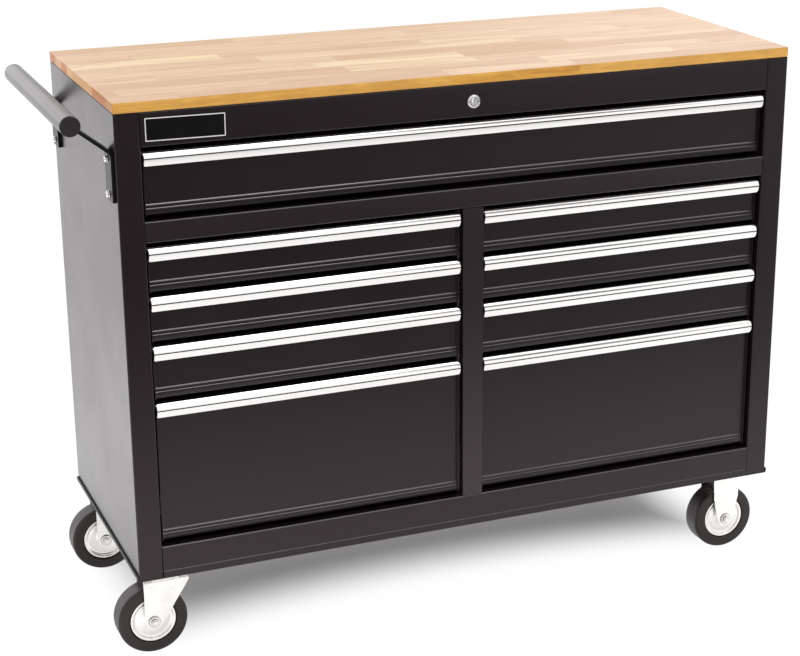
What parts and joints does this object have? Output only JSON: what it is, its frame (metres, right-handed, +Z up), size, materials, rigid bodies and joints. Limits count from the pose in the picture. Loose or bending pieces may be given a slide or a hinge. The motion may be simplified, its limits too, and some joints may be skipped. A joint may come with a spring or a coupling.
{
  "type": "tool cart",
  "caption": "Rolling steel tool cabinet with full-width pulls on its drawers, a wooden worktop, a side push handle, a key lock and swivel and fixed casters.",
  "frame": {"origin": "on the floor, under the middle of the whole object's box, handle and lock included", "axes": "+Z up, the drawer fronts face -Y, the push handle is on the -X side"},
  "size_m": [1.2496, 0.454, 0.933],
  "materials": {
    "wood": "oiled strips glued side by side, satin",
    "black_paint": "black powder coat, semi-gloss",
    "strap_paint": "black powder coat, satin",
    "tube_paint": "dark powder coat, satin",
    "aluminium": "brushed and clear anodised",
    "zinc": "bright zinc plate",
    "chrome": "nickel plate",
    "rubber": "dark rubber, matt",
    "cap_plastic": "black moulded plastic"
  },
  "bodies": {
    "cart": {"wood_top": "wood", "left_side_panel": "black_paint", "right_side_panel": "black_paint", "back_panel": "black_paint", "top_rail": "black_paint", "middle_rail": "black_paint", "base_pan": "black_paint", "center_divider": "black_paint", "left_slide_rack": "zinc", "right_slide_rack": "zinc", "divider_left_rack": "zinc", "divider_right_rack": "zinc", "handle_tube": "tube_paint", "front_handle_cap": "cap_plastic", "rear_handle_cap": "cap_plastic", "front_handle_bracket": "strap_paint", "rear_handle_bracket": "strap_paint", "front_upper_handle_bolt": "zinc", "front_lower_handle_bolt": "zinc", "rear_upper_handle_bolt": "zinc", "rear_lower_handle_bolt": "zinc", "lock_housing": "chrome", "front_left_caster_plate": "zinc", "rear_left_caster_plate": "zinc", "front_right_caster_bracket": "zinc", "front_right_axle": "zinc", "rear_right_caster_bracket": "zinc", "rear_right_axle": "zinc"},
    "top_drawer": {"top_drawer_tray": "black_paint", "top_drawer_pull": "aluminium"},
    "left_1_drawer": {"left_1_drawer_tray": "black_paint", "left_1_drawer_pull": "aluminium"},
    "left_2_drawer": {"left_2_drawer_tray": "black_paint", "left_2_drawer_pull": "aluminium"},
    "left_3_drawer": {"left_3_drawer_tray": "black_paint", "left_3_drawer_pull": "aluminium"},
    "left_4_drawer": {"left_4_drawer_tray": "black_paint", "left_4_drawer_pull": "aluminium"},
    "right_1_drawer": {"right_1_drawer_tray": "black_paint", "right_1_drawer_pull": "aluminium"},
    "right_2_drawer": {"right_2_drawer_tray": "black_paint", "right_2_drawer_pull": "aluminium"},
    "right_3_drawer": {"right_3_drawer_tray": "black_paint", "right_3_drawer_pull": "aluminium"},
    "right_4_drawer": {"right_4_drawer_tray": "black_paint", "right_4_drawer_pull": "aluminium"},
    "lock": {"lock_cylinder": "chrome"},
    "front_left_swivel": {"front_left_fork": "zinc", "front_left_axle": "zinc"},
    "rear_left_swivel": {"rear_left_fork": "zinc", "rear_left_axle": "zinc"},
    "front_left_wheel": {"front_left_hub": "zinc", "front_left_tyre": "rubber"},
    "rear_left_wheel": {"rear_left_hub": "zinc", "rear_left_tyre": "rubber"},
    "front_right_wheel": {"front_right_hub": "zinc", "front_right_tyre": "rubber"},
    "rear_right_wheel": {"rear_right_hub": "zinc", "rear_right_tyre": "rubber"}
  },
  "joints": [
    {"name": "top_drawer_slide", "type": "slide", "parent": "cart", "child": "top_drawer", "axis": [0, -1, 0], "range_m": [0, 0.3]},
    {"name": "left_1_drawer_slide", "type": "slide", "parent": "cart", "child": "left_1_drawer", "axis": [0, -1, 0], "range_m": [0, 0.3]},
    {"name": "left_2_drawer_slide", "type": "slide", "parent": "cart", "child": "left_2_drawer", "axis": [0, -1, 0], "range_m": [0, 0.3]},
    {"name": "left_3_drawer_slide", "type": "slide", "parent": "cart", "child": "left_3_drawer", "axis": [0, -1, 0], "range_m": [0, 0.3]},
    {"name": "left_4_drawer_slide", "type": "slide", "parent": "cart", "child": "left_4_drawer", "axis": [0, -1, 0], "range_m": [0, 0.3]},
    {"name": "right_1_drawer_slide", "type": "slide", "parent": "cart", "child": "right_1_drawer", "axis": [0, -1, 0], "range_m": [0, 0.3]},
    {"name": "right_2_drawer_slide", "type": "slide", "parent": "cart", "child": "right_2_drawer", "axis": [0, -1, 0], "range_m": [0, 0.3]},
    {"name": "right_3_drawer_slide", "type": "slide", "parent": "cart", "child": "right_3_drawer", "axis": [0, -1, 0], "range_m": [0, 0.3]},
    {"name": "right_4_drawer_slide", "type": "slide", "parent": "cart", "child": "right_4_drawer", "axis": [0, -1, 0], "range_m": [0, 0.3]},
    {"name": "lock_turn", "type": "hinge", "parent": "cart", "child": "lock", "pos_m": [0.03795, -0.224, 0.8879], "axis": [0, 1, 0], "range_deg": [0, 90]},
    {"name": "front_left_swivel_turn", "type": "hinge", "parent": "cart", "child": "front_left_swivel", "pos_m": [-0.49625, -0.17, 0.1475], "axis": [0, 0, 1], "continuous": true},
    {"name": "rear_left_swivel_turn", "type": "hinge", "parent": "cart", "child": "rear_left_swivel", "pos_m": [-0.49625, 0.173, 0.1475], "axis": [0, 0, 1], "continuous": true},
    {"name": "front_left_wheel_spin", "type": "hinge", "parent": "front_left_swivel", "child": "front_left_wheel", "pos_m": [-0.51925, -0.17, 0.0585], "axis": [0, 1, 0], "continuous": true},
    {"name": "rear_left_wheel_spin", "type": "hinge", "parent": "rear_left_swivel", "child": "rear_left_wheel", "pos_m": [-0.51925, 0.173, 0.0585], "axis": [0, 1, 0], "continuous": true},
    {"name": "front_right_wheel_spin", "type": "hinge", "parent": "cart", "child": "front_right_wheel", "pos_m": [0.55565, -0.178, 0.0585], "axis": [0, 1, 0], "continuous": true},
    {"name": "rear_right_wheel_spin", "type": "hinge", "parent": "cart", "child": "rear_right_wheel", "pos_m": [0.55565, 0.181, 0.0585], "axis": [0, 1, 0], "continuous": true}
  ]
}
